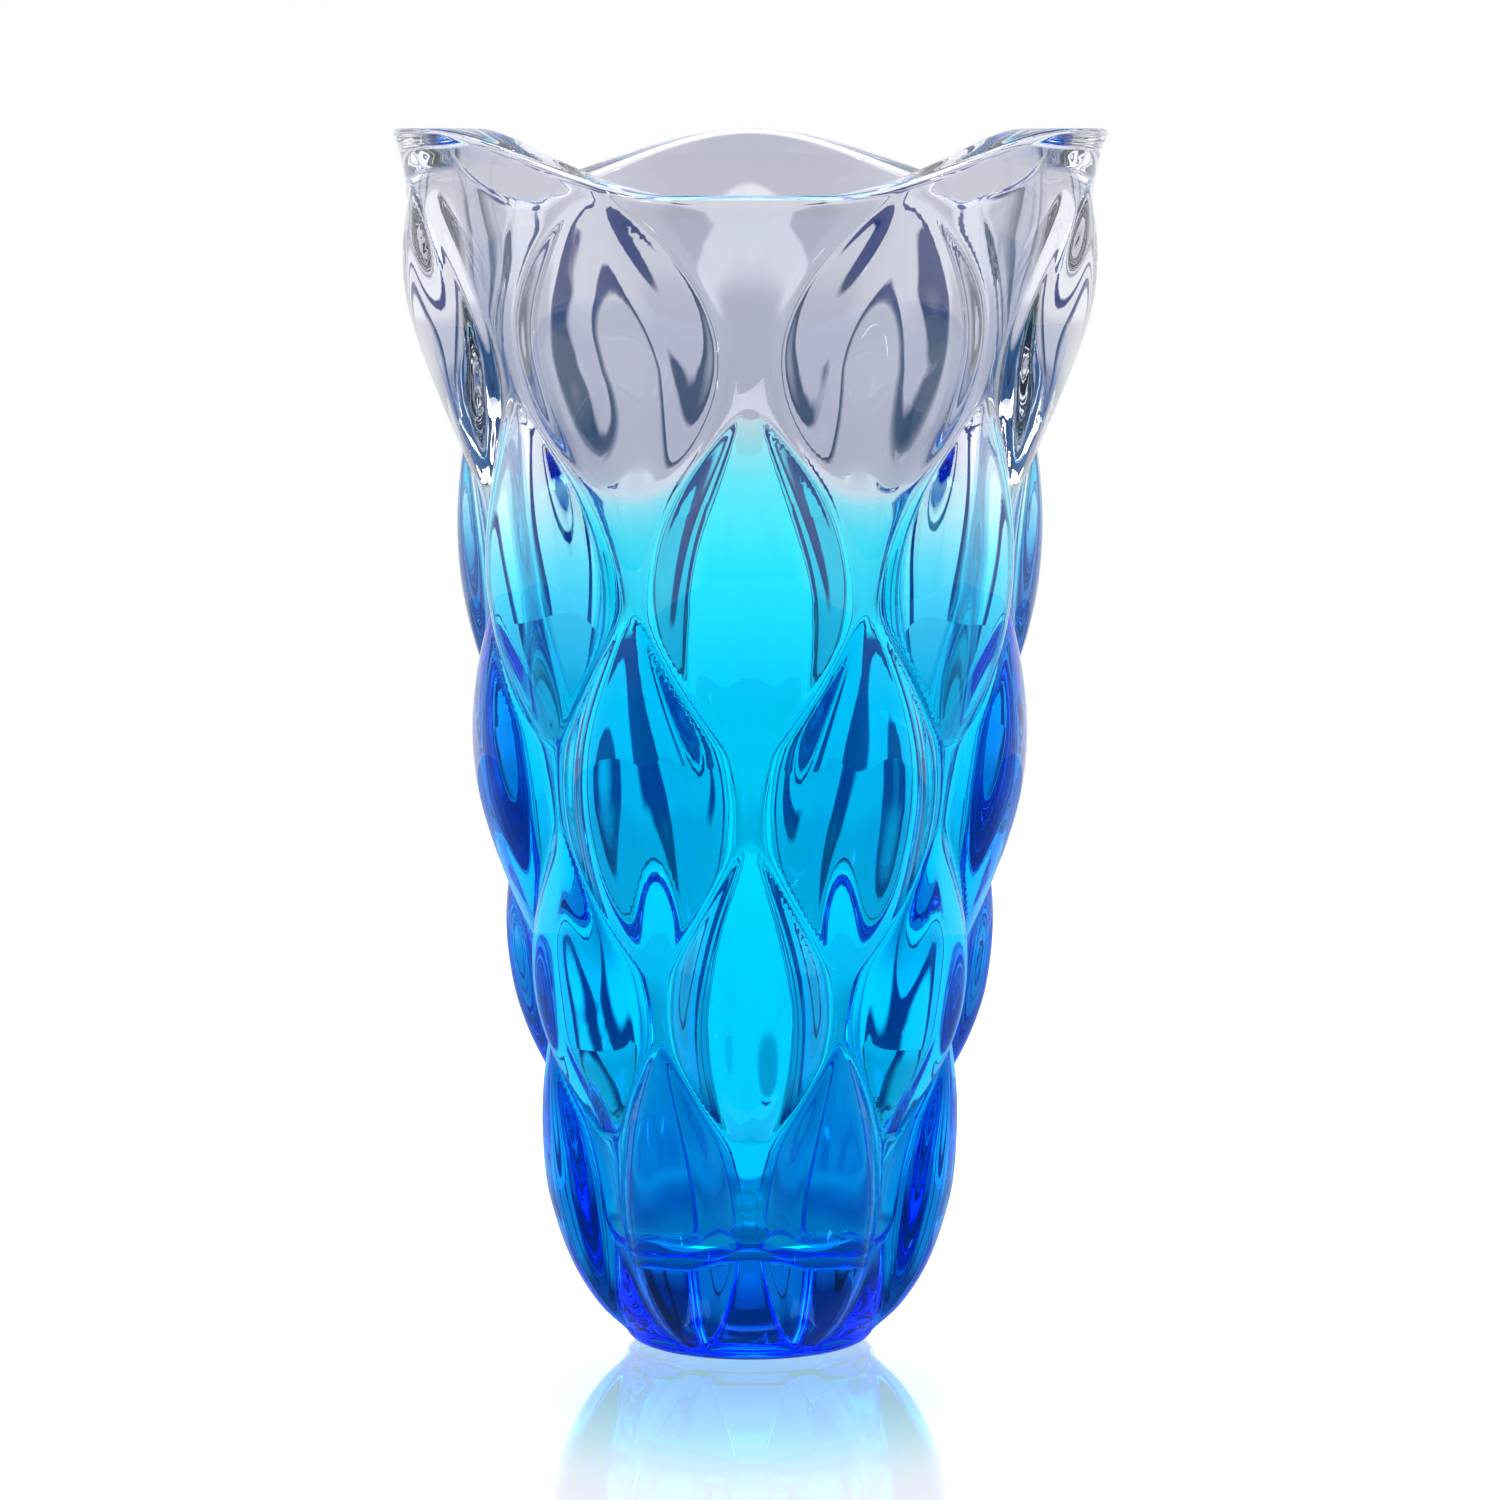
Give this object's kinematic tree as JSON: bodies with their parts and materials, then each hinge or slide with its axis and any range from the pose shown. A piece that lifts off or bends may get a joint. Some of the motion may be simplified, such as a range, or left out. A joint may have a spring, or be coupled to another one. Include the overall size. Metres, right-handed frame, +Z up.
{
  "type": "vase",
  "caption": "Tall tapering thick-walled glass vase with staggered teardrop lobes, a waved flared rim and a solid base, clear at the lip and shading through cyan to deep blue.",
  "frame": {"origin": "centre of the flat face of the foot, on the vase's axis", "axes": "+Z up along the vase's axis; the front, where the rim dips and a lobe of the second row faces the viewer, is towards -Y"},
  "size_m": [0.1744, 0.1709, 0.3],
  "materials": {
    "base_glass": "polished, deep blue",
    "azure_glass": "fire-polished, azure",
    "cyan_glass": "fire-polished, cyan",
    "aqua_glass": "fire-polished, light cyan",
    "pale_glass": "fire-polished, nearly clear",
    "clear_glass": "fire-polished, clear with a faint lavender grey"
  },
  "bodies": {
    "root": {"foot": "base_glass", "base": "base_glass", "lobe_row_5": "azure_glass", "lobe_row_4": "cyan_glass", "lobe_row_3": "cyan_glass", "lobe_row_2": "aqua_glass", "lobe_row_1": "pale_glass", "rim": "clear_glass"}
  },
  "joints": []
}
